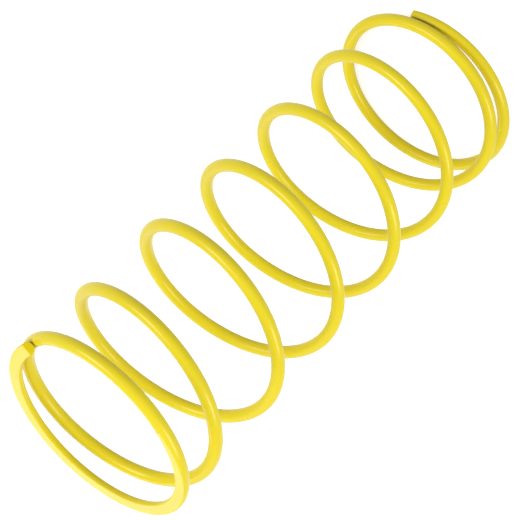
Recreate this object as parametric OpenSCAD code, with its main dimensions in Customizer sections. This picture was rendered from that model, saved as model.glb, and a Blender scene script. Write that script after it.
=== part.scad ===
// Torque spring: a left-hand helical compression spring of round wire, with
// closed ends that are ground flat.
// It stands on its lower ground face, which lies on Z = 0 with the coil's axis on Z.
// The lower tip lies on +X, and the wire turns clockwise from there as it climbs.

/* [Coil] */
// Outside diameter over the free coils
coil_od = 60; // [45:0.5:80]
// Diameter of the spring wire
wire_d = 3.8; // [3:0.1:5]
// Free length from one ground face to the other
free_length = 161; // [125:1:220]
// Turns of wire from tip to tip
total_turns = 7.9; // [6.5:0.01:9]

/* [Closed ends] */
// Turns over which the lead grows from nothing to the full pitch
opening_turns = 1.55; // [1.2:0.05:1.9]
// Gap left between a tip and the turn that it closes on
tip_gap = 0.1; // [0.05:0.05:0.6]
// Depth of wire ground away at a tip
grind_depth = 1.3; // [0.8:0.1:2]
// How far a tip is drawn in from the radius of the free coils
tip_draw_in = 0.1; // [0:0.05:0.6]

/* [Smoothness] */
// Sides of the wire's section
wire_sides = 16; // [12:4:16]
// Rings of points along one turn
rings_per_turn = 44; // [32:2:44]

/* [Hidden] */

wire_r = wire_d / 2;
mean_r = (coil_od - wire_d) / 2;

// Height of the wire's centre at the lower tip, and the climb from tip to tip
tip_z = wire_r - grind_depth;
climb = free_length - 2 * tip_z;

// Each tip lies flat, then the lead grows evenly until it reaches the full pitch.
// One turn along from a tip the wire has climbed just enough to clear that tip.
// These two conditions and the climb fix the pitch, as a quadratic in its square root.
seat_climb = wire_d + tip_gap;
pitch_term = total_turns - 2 - opening_turns;
seat_term = 2 * sqrt(2 * opening_turns * seat_climb);
root_pitch = (sqrt(pow(seat_term, 2) + 4 * pitch_term * climb) - seat_term) / (2 * pitch_term);
pitch = pow(root_pitch, 2);
flat_turns = 1 - sqrt(2 * opening_turns * seat_climb / pitch);

// Turns from a tip to the first point at the full pitch
end_turns = flat_turns + opening_turns;
rings = ceil(total_turns * rings_per_turn);

// Turns back to the nearer tip
function from_tip(t) = min(t, total_turns - t);

// Turns of the growing lead that lie within s turns of a tip
function opened(s) = min(max(s - flat_turns, 0), opening_turns);

// Climb of the wire's centre over the first s turns from a tip
function rise(s) = pitch * (pow(opened(s), 2) / (2 * opening_turns) + max(s - end_turns, 0));

// Place of the wire's centre, t turns along from the lower tip
function turn_angle(t) = -360 * t;
function centre_r(t) = mean_r - tip_draw_in * pow(max(1 - from_tip(t) / end_turns, 0), 2);
function centre_z(t) = t < total_turns / 2
    ? tip_z + rise(t)
    : free_length - tip_z - rise(total_turns - t);

// Slope of the wire at that place
function lead_angle(t) = atan(pitch * opened(from_tip(t)) / opening_turns / (2 * PI * mean_r));

// One ring of points round the wire, square to its run
function ring(t) =
    let (turn = turn_angle(t), lead = lead_angle(t))
    [for (side = [0 : wire_sides - 1])
        let (
            round_wire = 360 * side / wire_sides,
            outward = centre_r(t) + wire_r * cos(round_wire),
            upward = wire_r * sin(round_wire)
        )
        [
            outward * cos(turn) - upward * sin(lead) * sin(turn),
            outward * sin(turn) + upward * sin(lead) * cos(turn),
            centre_z(t) + upward * cos(lead)
        ]];

// The wire as it is coiled, before grinding
module coiled_wire() {
    points = [for (k = [0 : rings]) each ring(total_turns * k / rings)];
    lower_end = [for (side = [0 : wire_sides - 1]) side];
    upper_end = [for (side = [wire_sides - 1 : -1 : 0]) rings * wire_sides + side];
    skin = [for (k = [0 : rings - 1], side = [0 : wire_sides - 1])
        let (
            here = k * wire_sides,
            next = here + wire_sides,
            beside = (side + 1) % wire_sides
        )
        [here + side, next + side, next + beside, here + beside]];
    polyhedron(points, concat([lower_end], skin, [upper_end]), convexity = 20);
}

// The space that a grinding wheel clears beyond one end of the spring
module grinding_wheel() {
    cylinder(h = wire_d, d = coil_od + 2 * wire_d);
}

module coil_spring() {
    color([0.92, 0.85, 0.31])
    difference() {
        coiled_wire();
        translate([0, 0, -wire_d]) grinding_wheel();
        translate([0, 0, free_length]) grinding_wheel();
    }
}

coil_spring();
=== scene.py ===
"""Torque spring: a coil of painted spring wire, standing on its lower ground end.

All sizes are in metres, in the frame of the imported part. Z runs along the axis of the coil, the
lower ground face lies on Z = 0, and the lower tip of the wire lies on +X.
"""

import logging
import math
from dataclasses import dataclass, field
from enum import Enum

import bmesh
import bpy
from bmesh.types import BMEdge, BMesh, BMVert
from mathutils import Matrix, Vector


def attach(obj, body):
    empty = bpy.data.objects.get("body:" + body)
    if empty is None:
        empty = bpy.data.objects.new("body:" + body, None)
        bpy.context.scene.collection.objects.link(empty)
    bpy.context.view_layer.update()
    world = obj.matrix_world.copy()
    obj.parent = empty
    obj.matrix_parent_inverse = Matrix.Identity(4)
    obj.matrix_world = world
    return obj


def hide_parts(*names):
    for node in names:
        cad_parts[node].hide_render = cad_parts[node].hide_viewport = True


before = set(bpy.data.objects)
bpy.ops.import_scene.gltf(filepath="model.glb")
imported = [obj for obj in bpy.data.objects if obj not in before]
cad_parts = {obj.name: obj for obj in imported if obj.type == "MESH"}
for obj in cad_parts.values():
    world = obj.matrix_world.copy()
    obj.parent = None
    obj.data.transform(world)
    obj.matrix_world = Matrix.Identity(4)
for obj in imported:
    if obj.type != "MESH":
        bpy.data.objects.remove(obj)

log = logging.getLogger("torque_spring")

MILLIMETRE = 0.001
# Vertex layer that tells how deep a vertex lies in the gap of a closed end, and so how far painted
# shade darkens the paint there
GAP_SHADE = "gap_shade"
# Distance from band to band of a wave texture whose scale is 1
WAVE_PERIOD = 0.314

Colour = tuple[float, float, float]


class Piece(Enum):
    """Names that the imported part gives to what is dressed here."""

    BODY = "root"
    NODE = "coil_spring"
    PAINT_SLOT = "yellow_paint"


class Skin(Enum):
    """Material slots of the spring's mesh."""

    DRAWN_WIRE = 0
    GROUND_END = 1


def linear(red: int, green: int, blue: int) -> Colour:
    """Turns a display colour into the linear one that shaders take.

    Args:
        red: Red from 0 to 255.
        green: Green from 0 to 255.
        blue: Blue from 0 to 255.

    Returns:
        The three linear values from 0 to 1.
    """

    def channel(value: int) -> float:
        """Linear value of one channel, by the sRGB curve."""
        share = value / 255
        return share / 12.92 if share <= 0.04045 else ((share + 0.055) / 1.055) ** 2.4

    return channel(red), channel(green), channel(blue)


@dataclass(frozen=True)
class PaintFinish:
    """Enamel of a soft gloss, sprayed over the wire: an even coat with a faint orange peel.

    Attributes:
        name: Name of the material.
        colour: Paint at one end of its faint mottle.
        warm_colour: Paint at the other end.
        gap_shade_colour: Painted shade deep in the gap of a closed end, where the turns lie close
            together.
        gloss_tint: Tint of the gloss where the surface is seen square on.
        gloss_level: Strength of the gloss.
        roughness: Middle roughness of the gloss.
        roughness_spread: How far the roughness strays to either side.
        mottle_size: Width of a patch of the mottle.
        mottle_detail: Octaves of finer patches.
        peel_size: Width of a dimple of the orange peel.
        peel_height: Height of the orange peel.
        sag_size: Width of a slow wave in the coat.
        sag_height: Height of such a wave.
    """

    name: str = "yellow enamel"
    colour: Colour = linear(236, 219, 28)
    warm_colour: Colour = linear(238, 214, 24)
    gap_shade_colour: Colour = linear(100, 78, 16)
    gloss_tint: Colour = (1.0, 0.97, 0.8)
    gloss_level: float = 0.38
    roughness: float = 0.29
    roughness_spread: float = 0.05
    mottle_size: float = 0.012
    mottle_detail: float = 3.0
    peel_size: float = 0.0011
    peel_height: float = 0.000008
    sag_size: float = 0.0045
    sag_height: float = 0.00009

    def material(self) -> bpy.types.Material:
        """Makes the finish as a procedural material on Object coordinates.

        Returns:
            The new material.
        """
        material = bpy.data.materials.new(self.name)
        material.use_nodes = True
        nodes, links = material.node_tree.nodes, material.node_tree.links
        shader = nodes["Principled BSDF"]
        shader.inputs["Specular Tint"].default_value = (*self.gloss_tint, 1.0)
        shader.inputs["Specular IOR Level"].default_value = self.gloss_level
        place = nodes.new("ShaderNodeTexCoord").outputs["Object"]

        mottle = self.noise(material, place, self.mottle_size, self.mottle_detail)
        tint = nodes.new("ShaderNodeMix")
        tint.data_type = "RGBA"
        tint.inputs["A"].default_value = (*self.colour, 1.0)
        tint.inputs["B"].default_value = (*self.warm_colour, 1.0)
        links.new(mottle, tint.inputs["Factor"])
        # Painted shade: the paint darkens towards a dark colour where it lies deep in the gap of a
        # closed end
        gap_shade_mix = nodes.new("ShaderNodeMix")
        gap_shade_mix.data_type = "RGBA"
        links.new(tint.outputs["Result"], gap_shade_mix.inputs["A"])
        gap_shade_mix.inputs["B"].default_value = (*self.gap_shade_colour, 1.0)
        depth = nodes.new("ShaderNodeAttribute")
        depth.attribute_name = GAP_SHADE
        links.new(depth.outputs["Fac"], gap_shade_mix.inputs["Factor"])
        links.new(gap_shade_mix.outputs["Result"], shader.inputs["Base Color"])

        gloss = nodes.new("ShaderNodeMapRange")
        gloss.inputs["To Min"].default_value = self.roughness - self.roughness_spread
        gloss.inputs["To Max"].default_value = self.roughness + self.roughness_spread
        links.new(mottle, gloss.inputs["Value"])
        links.new(gloss.outputs["Result"], shader.inputs["Roughness"])

        sag = self.bump(material, self.noise(material, place, self.sag_size), self.sag_height)
        peel = self.bump(material, self.noise(material, place, self.peel_size), self.peel_height)
        links.new(sag.outputs["Normal"], peel.inputs["Normal"])
        self.texture_surface(material, place, peel, shader)
        return material

    def texture_surface(
        self,
        material: bpy.types.Material,
        place: bpy.types.NodeSocket,
        peel: bpy.types.Node,
        shader: bpy.types.Node,
    ) -> None:
        """Joins the paint's own relief to the shader."""
        material.node_tree.links.new(peel.outputs["Normal"], shader.inputs["Normal"])

    @staticmethod
    def noise(
        material: bpy.types.Material,
        place: bpy.types.NodeSocket,
        size: float,
        detail: float = 1.0,
    ) -> bpy.types.NodeSocket:
        """Adds a noise with features of about one size.

        Args:
            material: Material that the node belongs to.
            place: Coordinates of the noise.
            size: Width of a feature.
            detail: Octaves of finer noise.

        Returns:
            The noise's value.
        """
        node = material.node_tree.nodes.new("ShaderNodeTexNoise")
        node.inputs["Scale"].default_value = 1 / size
        node.inputs["Detail"].default_value = detail
        material.node_tree.links.new(place, node.inputs["Vector"])
        return node.outputs["Fac"]

    @staticmethod
    def bump(
        material: bpy.types.Material, height: bpy.types.NodeSocket, depth: float
    ) -> bpy.types.Node:
        """Adds a bump of a given depth.

        Args:
            material: Material that the node belongs to.
            height: Relief from 0 to 1.
            depth: Height of the relief at 1.

        Returns:
            The bump node.
        """
        node = material.node_tree.nodes.new("ShaderNodeBump")
        node.inputs["Strength"].default_value = 1.0
        node.inputs["Distance"].default_value = depth
        material.node_tree.links.new(height, node.inputs["Height"])
        return node


@dataclass(frozen=True)
class GroundFinish(PaintFinish):
    """The same enamel over a ground face, where the lay of the wheel still shows through.

    Attributes:
        lay_pitch: Distance between the marks of the wheel.
        lay_height: Height of the marks.
        lay_angle: Turn of the marks about Z.
        lay_waver: How far the marks stray from straight lines.
        lay_detail: Octaves of that straying.
    """

    name: str = "yellow enamel on ground steel"
    lay_pitch: float = 0.00035
    lay_height: float = 0.000004
    lay_angle: float = math.radians(25)
    lay_waver: float = 6.0
    lay_detail: float = 3.0

    def texture_surface(
        self,
        material: bpy.types.Material,
        place: bpy.types.NodeSocket,
        peel: bpy.types.Node,
        shader: bpy.types.Node,
    ) -> None:
        """Adds the wheel's lay to the paint's own relief.

        Args:
            material: Material that the nodes belong to.
            place: Object coordinates.
            peel: Last bump node of the paint itself.
            shader: Principled shader of the material.
        """
        nodes, links = material.node_tree.nodes, material.node_tree.links
        turn = nodes.new("ShaderNodeMapping")
        turn.inputs["Rotation"].default_value = (0.0, 0.0, self.lay_angle)
        links.new(place, turn.inputs["Vector"])
        lay = nodes.new("ShaderNodeTexWave")
        lay.inputs["Scale"].default_value = WAVE_PERIOD / self.lay_pitch
        lay.inputs["Distortion"].default_value = self.lay_waver
        lay.inputs["Detail"].default_value = self.lay_detail
        links.new(turn.outputs["Vector"], lay.inputs["Vector"])
        scored = self.bump(material, lay.outputs["Fac"], self.lay_height)
        links.new(peel.outputs["Normal"], scored.inputs["Normal"])
        super().texture_surface(material, place, scored, shader)


@dataclass
class CoilSpring:
    """Left-hand compression spring of round wire, with closed ends that are ground flat.

    Attributes:
        coil_od: Outside diameter over the free coils.
        wire_d: Diameter of the wire.
        free_length: Length from one ground face to the other.
        total_turns: Turns of wire from tip to tip.
        opening_turns: Turns over which the lead grows from nothing to the full pitch.
        tip_gap: Gap between a tip and the turn that it closes on.
        grind_depth: Depth of wire ground away at a tip.
        tip_draw_in: How far a tip is drawn in from the radius of the free coils.
        gap_shade_reach: Distance from the next turn within which the paint is darkened as painted
            shade.
        edge_round: Width of a rounded rim on each side of its edge.
        edge_segments: Facets across a rounded rim.
        crisp_edge: Angle between two faces, past which the rim between them is rounded.
        weld: Distance within which two vertices are one.
        cut_touch: Distance within which a vertex counts as on the grinding plane.
        wire_sides: Sides of the wire's section.
        rings_per_turn: Rings of vertices along one turn.
        wire_r: Radius of the wire.
        mean_r: Radius of the free coils, to the wire's centre.
        tip_z: Height of the wire's centre at the lower tip.
        half_rings: Steps between rings from the lower tip to the middle of the wire.
        ring_turns: Turns from one ring to the next.
        pitch: Climb of one free turn.
        flat_turns: Turns from a tip over which the wire lies flat.
        end_turns: Turns from a tip to the first point at the full pitch.
    """

    coil_od: float = 60.0 * MILLIMETRE
    wire_d: float = 3.8 * MILLIMETRE
    free_length: float = 161.0 * MILLIMETRE
    total_turns: float = 7.9
    opening_turns: float = 1.55
    tip_gap: float = 0.1 * MILLIMETRE
    grind_depth: float = 1.3 * MILLIMETRE
    tip_draw_in: float = 0.1 * MILLIMETRE
    gap_shade_reach: float = 1.3 * MILLIMETRE
    edge_round: float = 0.18 * MILLIMETRE
    edge_segments: int = 3
    crisp_edge: float = math.radians(12)
    weld: float = 0.01 * MILLIMETRE
    cut_touch: float = 0.001 * MILLIMETRE
    wire_sides: int = 32
    rings_per_turn: int = 120
    wire_r: float = field(init=False)
    mean_r: float = field(init=False)
    tip_z: float = field(init=False)
    half_rings: int = field(init=False)
    ring_turns: float = field(init=False)
    pitch: float = field(init=False)
    flat_turns: float = field(init=False)
    end_turns: float = field(init=False)

    def __post_init__(self) -> None:
        """Works out the sizes that follow from the driving ones."""
        self.wire_r = self.wire_d / 2
        self.mean_r = (self.coil_od - self.wire_d) / 2
        self.tip_z = self.wire_r - self.grind_depth
        self.half_rings = math.ceil(self.total_turns / 2 * self.rings_per_turn)
        self.ring_turns = self.total_turns / 2 / self.half_rings
        self.pitch = self.even_pitch()
        seat_climb = self.wire_d + self.tip_gap
        self.flat_turns = 1 - math.sqrt(2 * self.opening_turns * seat_climb / self.pitch)
        self.end_turns = self.flat_turns + self.opening_turns

    def even_pitch(self) -> float:
        """Finds the pitch at which a tip lies flat and clears the next turn by the tip gap.

        Returns:
            The climb of one free turn.
        """
        climb = self.free_length - 2 * self.tip_z
        free_turns = self.total_turns - 2 - self.opening_turns
        seat_term = 2 * math.sqrt(2 * self.opening_turns * (self.wire_d + self.tip_gap))
        root = (math.sqrt(seat_term**2 + 4 * free_turns * climb) - seat_term) / (2 * free_turns)
        return root**2

    def opened(self, turns: float) -> float:
        """Turns of the growing lead that lie within some turns of the lower tip."""
        return min(max(turns - self.flat_turns, 0.0), self.opening_turns)

    def lead(self, turns: float) -> float:
        """Slope of the wire, as an angle."""
        climb = self.pitch * self.opened(turns) / self.opening_turns
        return math.atan(climb / (math.tau * self.mean_r))

    def outward(self, turns: float) -> Vector:
        """Direction from the axis to the wire's centre."""
        return Vector((math.cos(math.tau * turns), -math.sin(math.tau * turns), 0.0))

    def centre(self, turns: float) -> Vector:
        """Finds the wire's centre in the lower half of the spring.

        Args:
            turns: Turns along the wire from the lower tip.

        Returns:
            The place of the centre.
        """
        drawn_in = self.tip_draw_in * max(1 - turns / self.end_turns, 0.0) ** 2
        ramp = self.opened(turns) ** 2 / (2 * self.opening_turns)
        even = max(turns - self.end_turns, 0.0)
        height = self.tip_z + self.pitch * (ramp + even)
        return (self.mean_r - drawn_in) * self.outward(turns) + Vector((0.0, 0.0, height))

    def build(self) -> bpy.types.Object:
        """Coils, grinds and rounds the lower half, and turns a copy of it over for the upper one.

        Returns:
            The spring, linked to the scene.
        """
        bm = bmesh.new()
        bm.verts.layers.float.new(GAP_SHADE)
        closed_rings = self.coil_half(bm)
        self.mark_gap_shade(bm, closed_rings)
        self.slide_to_rim(closed_rings)
        self.grind(bm)
        self.round_edges(bm)
        self.turn_over(bm)
        bmesh.ops.recalc_face_normals(bm, faces=bm.faces)
        mesh = bpy.data.meshes.new("painted_spring")
        bm.to_mesh(mesh)
        bm.free()
        spring = bpy.data.objects.new("painted_spring", mesh)
        bpy.context.scene.collection.objects.link(spring)
        return spring

    def coil_half(self, bm: BMesh) -> list[list[BMVert]]:
        """Sweeps a round section from the lower tip to the middle, and closes the tip.

        Args:
            bm: Mesh that takes the wire.

        Returns:
            Rings of vertices of the closed end, from the tip on.
        """
        upright = Matrix.Rotation(math.radians(90), 4, "X")
        ring = bmesh.ops.create_circle(
            bm,
            segments=self.wire_sides,
            radius=self.wire_r,
            matrix=Matrix.Translation(self.centre(0.0)) @ upright,
        )["verts"]
        tip_edges = self.edges_of(ring)
        closed_rings = [ring]
        even_from = math.ceil(self.end_turns / self.ring_turns)
        for step in range(even_from):
            before, here = step * self.ring_turns, (step + 1) * self.ring_turns
            climb = self.centre(here).z - self.centre(before).z
            ring = self.spin_on(bm, ring, climb, 1)
            self.lean_and_draw(bm, ring, step)
            closed_rings.append(ring)
        climb = self.pitch * self.ring_turns
        self.spin_on(bm, ring, climb, self.half_rings - even_from)
        for face in bm.faces:
            face.smooth = True
            face.material_index = Skin.DRAWN_WIRE.value
        self.close(bm, tip_edges)
        return closed_rings

    @staticmethod
    def edges_of(ring: list[BMVert]) -> list[BMEdge]:
        """Finds the edges that join the vertices of one ring.

        Args:
            ring: Vertices of the ring.

        Returns:
            The edges, once each and in the same order on every run.
        """
        members = set(ring)
        touching = (edge for vert in ring for edge in vert.link_edges)
        return [e for e in dict.fromkeys(touching) if members.issuperset(e.verts)]

    @staticmethod
    def close(bm: BMesh, edges: list[BMEdge]) -> None:
        """Closes a loop of edges with one flat face of a cut end.

        Args:
            bm: Mesh of the wire.
            edges: Edges of the loop.
        """
        for face in bmesh.ops.edgeloop_fill(bm, edges=edges)["faces"]:
            face.smooth = False
            face.material_index = Skin.GROUND_END.value

    def spin_on(self, bm: BMesh, ring: list[BMVert], climb: float, steps: int) -> list[BMVert]:
        """Sweeps a ring along the coil, clockwise as it climbs.

        Args:
            bm: Mesh that takes the wire.
            ring: Vertices of the last ring so far.
            climb: Height that each step adds.
            steps: Number of rings to add.

        Returns:
            Vertices of the new last ring.
        """
        swept = bmesh.ops.spin(
            bm,
            geom=ring + self.edges_of(ring),
            cent=(0.0, 0.0, 0.0),
            axis=(0.0, 0.0, 1.0),
            dvec=(0.0, 0.0, climb),
            angle=-math.tau * self.ring_turns * steps,
            steps=steps,
        )
        return [v for v in swept["geom_last"] if isinstance(v, BMVert)]

    def lean_and_draw(self, bm: BMesh, ring: list[BMVert], step: int) -> None:
        """Gives a new ring of the closed end its own lead and radius.

        Args:
            bm: Mesh of the wire.
            ring: Vertices of the new ring.
            step: Number of the ring before it, counted from the tip.
        """
        before, here = step * self.ring_turns, (step + 1) * self.ring_turns
        centre, outward = self.centre(here), self.outward(here)
        draw = centre.xy.length - self.centre(before).xy.length
        bmesh.ops.translate(bm, vec=draw * outward, verts=ring)
        lean = Matrix.Rotation(self.lead(before) - self.lead(here), 3, outward)
        bmesh.ops.rotate(bm, cent=centre, matrix=lean, verts=ring)

    def mark_gap_shade(self, bm: BMesh, rings: list[list[BMVert]]) -> None:
        """Marks how deep each vertex lies in the gap of the closed end, which sets the painted
        shade there.

        The ring of the tip itself stays unmarked, so the cut face there gets no painted shade.

        Args:
            bm: Mesh of the wire, with a layer for the depth.
            rings: Rings of the closed end, from the tip on.
        """
        # The closer a vertex lies to the neighbouring turn, the darker the painted shade on it
        depth = bm.verts.layers.float[GAP_SHADE]
        for step, ring in enumerate(rings[1:], start=1):
            turns = step * self.ring_turns
            for beside in (turns - 1, turns + 1):
                if beside < 0:
                    continue
                for vert in ring:
                    gap = (vert.co - self.centre(beside)).length - self.wire_r
                    vert[depth] = max(vert[depth], 1 - gap / self.gap_shade_reach)

    def slide_to_rim(self, rings: list[list[BMVert]]) -> None:
        """Slides a vertex of each side of a ring round the wire, to where the wheel cuts it.

        The cut then runs from vertex to vertex, and leaves no slivers beside it.

        Args:
            rings: Rings of the closed end, from the tip on.
        """
        row = math.tau * self.wire_r / self.wire_sides
        for step, ring in enumerate(rings):
            turns = step * self.ring_turns
            centre, outward, lead = self.centre(turns), self.outward(turns), self.lead(turns)
            drop = centre.z / math.cos(lead)
            if drop**2 > self.wire_r**2 - row**2:
                break
            half_width = math.sqrt(self.wire_r**2 - drop**2)
            lean = math.sin(lead) * Vector((0.0, 0.0, 1.0)).cross(outward)
            foot = centre - drop * (Vector((0.0, 0.0, math.cos(lead))) + lean)
            for side in (-outward, outward):
                beside = [v for v in ring if (v.co - centre).dot(side) > 0]
                min(beside, key=lambda v: abs(v.co.z)).co = foot + half_width * side

    def grind(self, bm: BMesh) -> None:
        """Cuts the wire off at the lower ground face, and closes the cut.

        Args:
            bm: Mesh of the coiled half.
        """
        bmesh.ops.bisect_plane(
            bm,
            geom=bm.verts[:] + bm.edges[:] + bm.faces[:],
            dist=self.cut_touch,
            plane_co=(0.0, 0.0, 0.0),
            plane_no=(0.0, 0.0, -1.0),
            clear_outer=True,
        )
        open_edges = [edge for edge in bm.edges if edge.is_boundary]
        self.close(bm, [e for e in open_edges if max(v.co.z for v in e.verts) < self.weld])

    def round_edges(self, bm: BMesh) -> None:
        """Rounds the rims of the ground face and the cut end, as paint does.

        Args:
            bm: Mesh of the ground half.
        """
        ends = [face for face in bm.faces if face.material_index == Skin.GROUND_END.value]
        rims = dict.fromkeys(edge for face in ends for edge in face.edges)
        rounded = bmesh.ops.bevel(
            bm,
            geom=[edge for edge in rims if edge.calc_face_angle() > self.crisp_edge],
            offset=self.edge_round,
            offset_type="OFFSET",
            segments=self.edge_segments,
            profile=0.5,
            affect="EDGES",
            material=-1,
        )
        for face in rounded["faces"]:
            face.smooth = True

    def turn_over(self, bm: BMesh) -> None:
        """Turns a copy of the lower half end over end, and welds the two at the middle.

        Args:
            bm: Mesh of the finished lower half.
        """
        upper = bmesh.ops.duplicate(bm, geom=bm.verts[:] + bm.edges[:] + bm.faces[:])["geom"]
        middle = self.total_turns / 2
        bmesh.ops.rotate(
            bm,
            cent=(0.0, 0.0, self.free_length / 2),
            matrix=Matrix.Rotation(math.pi, 3, self.outward(middle)),
            verts=[v for v in upper if isinstance(v, BMVert)],
        )
        seam = dict.fromkeys(v for edge in bm.edges if edge.is_boundary for v in edge.verts)
        bmesh.ops.remove_doubles(bm, verts=list(seam), dist=self.weld)

    def dress(self, spring: bpy.types.Object, finishes: dict[Skin, PaintFinish]) -> None:
        """Paints the spring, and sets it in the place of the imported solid.

        Args:
            spring: The built spring.
            finishes: Finish of each of its skins.
        """
        for skin in Skin:
            spring.data.materials.append(finishes[skin].material())
        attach(spring, Piece.BODY.value)
        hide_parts(Piece.NODE.value)


@dataclass(frozen=True)
class SoftBox:
    """A square lamp with an even face.

    Attributes:
        name: Name of the lamp.
        place: Middle of its face.
        aim: Point that it faces.
        side: Width of its face.
        watts: Power of the lamp.
    """

    name: str
    place: Vector
    aim: Vector
    side: float
    watts: float

    def build(self) -> bpy.types.Object:
        """Sets the lamp in the scene.

        Returns:
            The lamp.
        """
        lamp = bpy.data.lights.new(self.name, "AREA")
        lamp.shape = "SQUARE"
        lamp.size = self.side
        lamp.energy = self.watts
        holder = bpy.data.objects.new(self.name, lamp)
        holder.visible_camera = False
        holder.location = self.place
        holder.rotation_euler = (self.aim - self.place).to_track_quat("-Z", "Y").to_euler()
        bpy.context.scene.collection.objects.link(holder)
        return holder


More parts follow.
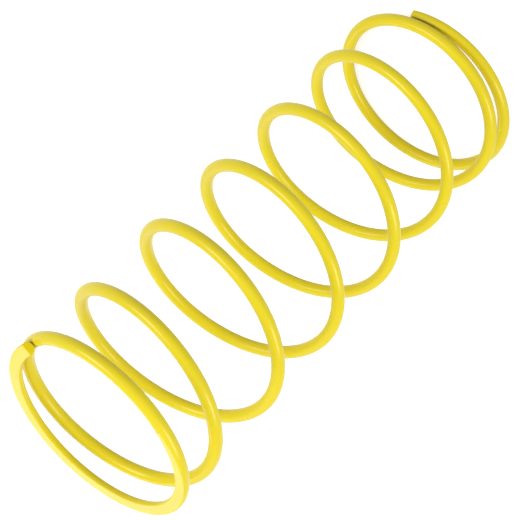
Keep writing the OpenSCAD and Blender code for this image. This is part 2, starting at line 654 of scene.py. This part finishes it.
@dataclass
class Studio:
    """White floor, white surroundings and soft lamps.

    Attributes:
        floor_side: Width of the floor.
        floor_drop: Gap between the floor and the spring's lower seat.
        floor_bounce: Floor as the light that falls on the spring meets it.
        floor_seen: Floor as the camera and the gloss see it.
        floor_lift: Glow that makes the seen floor white.
        fill: Strength of the surroundings as light on the spring.
        middle: Point on the coil's axis that the lamps face.
    """

    floor_side: float = 6.0
    floor_drop: float = 0.00002
    floor_bounce: Colour = (0.42, 0.42, 0.42)
    floor_seen: Colour = (0.6, 0.6, 0.6)
    floor_lift: float = 0.64
    fill: float = 0.58
    middle: Vector = Vector((0.0, 0.0, 0.08))

    def build(self) -> None:
        """Lays the floor, hangs the lamps and lights the surroundings."""
        self.lay_floor()
        self.light_surroundings()
        self.hang_box("high box", Vector((0.42, 0.28, 0.75)), side=0.36, watts=3.2)
        self.hang_box("back box", Vector((-0.52, 0.43, 0.42)), side=0.24, watts=0.38)
        self.hang_box("side box", Vector((-0.16, -0.79, 0.28)), side=0.36, watts=3.4)
        bpy.context.scene.view_settings.view_transform = "Standard"

    def hang_box(self, name: str, offset: Vector, side: float, watts: float) -> None:
        """Hangs a lamp at an offset from the middle of the spring, facing it."""
        SoftBox(name, self.middle + offset, self.middle, side, watts).build()

    def lay_floor(self) -> None:
        """Lays a white floor just under the spring's lower seat."""
        bm = bmesh.new()
        bmesh.ops.create_grid(
            bm,
            x_segments=1,
            y_segments=1,
            size=self.floor_side / 2,
            matrix=Matrix.Translation((0.0, 0.0, -self.floor_drop)),
        )
        mesh = bpy.data.meshes.new("floor")
        bm.to_mesh(mesh)
        bm.free()
        floor = bpy.data.objects.new("floor", mesh)
        bpy.context.scene.collection.objects.link(floor)
        mesh.materials.append(self.floor_material())

    def floor_material(self) -> bpy.types.Material:
        """Makes a floor that is seen as white, keeps shadows and throws back less light.

        Returns:
            The new material.
        """
        material = bpy.data.materials.new("white floor")
        material.use_nodes = True
        nodes, links = material.node_tree.nodes, material.node_tree.links
        nodes.clear()
        seen = self.seen_ray(material.node_tree)
        shade = nodes.new("ShaderNodeMix")
        shade.data_type = "RGBA"
        shade.inputs["A"].default_value = (*self.floor_bounce, 1.0)
        shade.inputs["B"].default_value = (*self.floor_seen, 1.0)
        links.new(seen, shade.inputs["Factor"])
        matt = nodes.new("ShaderNodeBsdfDiffuse")
        links.new(shade.outputs["Result"], matt.inputs["Color"])
        lift = nodes.new("ShaderNodeMath")
        lift.operation = "MULTIPLY"
        lift.inputs[1].default_value = self.floor_lift
        links.new(seen, lift.inputs[0])
        glow = nodes.new("ShaderNodeEmission")
        links.new(lift.outputs["Value"], glow.inputs["Strength"])
        both = nodes.new("ShaderNodeAddShader")
        links.new(matt.outputs["BSDF"], both.inputs[0])
        links.new(glow.outputs["Emission"], both.inputs[1])
        output = nodes.new("ShaderNodeOutputMaterial")
        links.new(both.outputs["Shader"], output.inputs["Surface"])
        return material

    @staticmethod
    def seen_ray(tree: bpy.types.NodeTree) -> bpy.types.NodeSocket:
        """Adds a test for rays that show the background: camera, glossy and transmission rays.

        Args:
            tree: Node tree that takes the test.

        Returns:
            A value of 1 for such a ray and 0 for any other.
        """
        path = tree.nodes.new("ShaderNodeLightPath")
        seen = path.outputs["Is Camera Ray"]
        for kind in ("Is Glossy Ray", "Is Transmission Ray"):
            either = tree.nodes.new("ShaderNodeMath")
            either.operation = "MAXIMUM"
            tree.links.new(seen, either.inputs[0])
            tree.links.new(path.outputs[kind], either.inputs[1])
            seen = either.outputs["Value"]
        return seen

    def light_surroundings(self) -> None:
        """Lights the surroundings evenly, and shows them as white."""
        world = bpy.data.worlds.new("surroundings")
        bpy.context.scene.world = world
        world.use_nodes = True
        nodes, links = world.node_tree.nodes, world.node_tree.links
        strength = nodes.new("ShaderNodeMapRange")
        strength.inputs["To Min"].default_value = self.fill
        strength.inputs["To Max"].default_value = 1.0
        links.new(self.seen_ray(world.node_tree), strength.inputs["Value"])
        background = nodes["Background"]
        background.inputs["Color"].default_value = (1.0, 1.0, 1.0, 1.0)
        links.new(strength.outputs["Result"], background.inputs["Strength"])


@dataclass(frozen=True)
class PhotoCamera:
    """Long lens that looks down along the coil, rolled so that the top seat comes lowest.

    Attributes:
        aim: Point at the middle of the picture.
        distance: Way from that point to the camera.
        heading: Turn of the camera about Z, from +X.
        elevation: Angle of the camera above the floor.
        roll: Turn of the camera about its own line of sight.
        lens: Focal length in millimetres.
        sensor: Width of the sensor in millimetres.
        clip_start: Distance of the nearest thing that is shown.
    """

    aim: Vector = Vector((0.00018, 0.00019, 0.08763))
    distance: float = 0.48087
    heading: float = math.radians(-40.8)
    elevation: float = math.radians(31.917)
    roll: float = math.radians(-135.811)
    lens: float = 116.856
    sensor: float = 36.0
    clip_start: float = 0.01

    def build(self) -> bpy.types.Object:
        """Sets the camera in the scene.

        Returns:
            The camera.
        """
        camera = bpy.data.cameras.new("photo camera")
        camera.lens = self.lens
        camera.sensor_width = self.sensor
        camera.clip_start = self.clip_start
        holder = bpy.data.objects.new("photo camera", camera)
        level = math.cos(self.elevation)
        back = Vector(
            (
                level * math.cos(self.heading),
                level * math.sin(self.heading),
                math.sin(self.elevation),
            )
        )
        facing = (-back).to_track_quat("-Z", "Y").to_matrix().to_4x4()
        place = Matrix.Translation(self.aim + self.distance * back)
        holder.matrix_world = place @ facing @ Matrix.Rotation(self.roll, 4, "Z")
        bpy.context.scene.collection.objects.link(holder)
        bpy.context.scene.camera = holder
        return holder


def main() -> None:
    """Builds the spring and its surroundings."""
    logging.basicConfig(level=logging.INFO, format="%(name)s: %(message)s")
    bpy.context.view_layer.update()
    spring = CoilSpring()
    painted = spring.build()
    spring.dress(painted, {Skin.DRAWN_WIRE: PaintFinish(), Skin.GROUND_END: GroundFinish()})
    log.info("%s: %d faces", painted.name, len(painted.data.polygons))
    Studio().build()
    log.info("floor and lamps are set")
    camera = PhotoCamera().build()
    log.info("%s is set", camera.name)


if __name__ == "__main__":
    main()
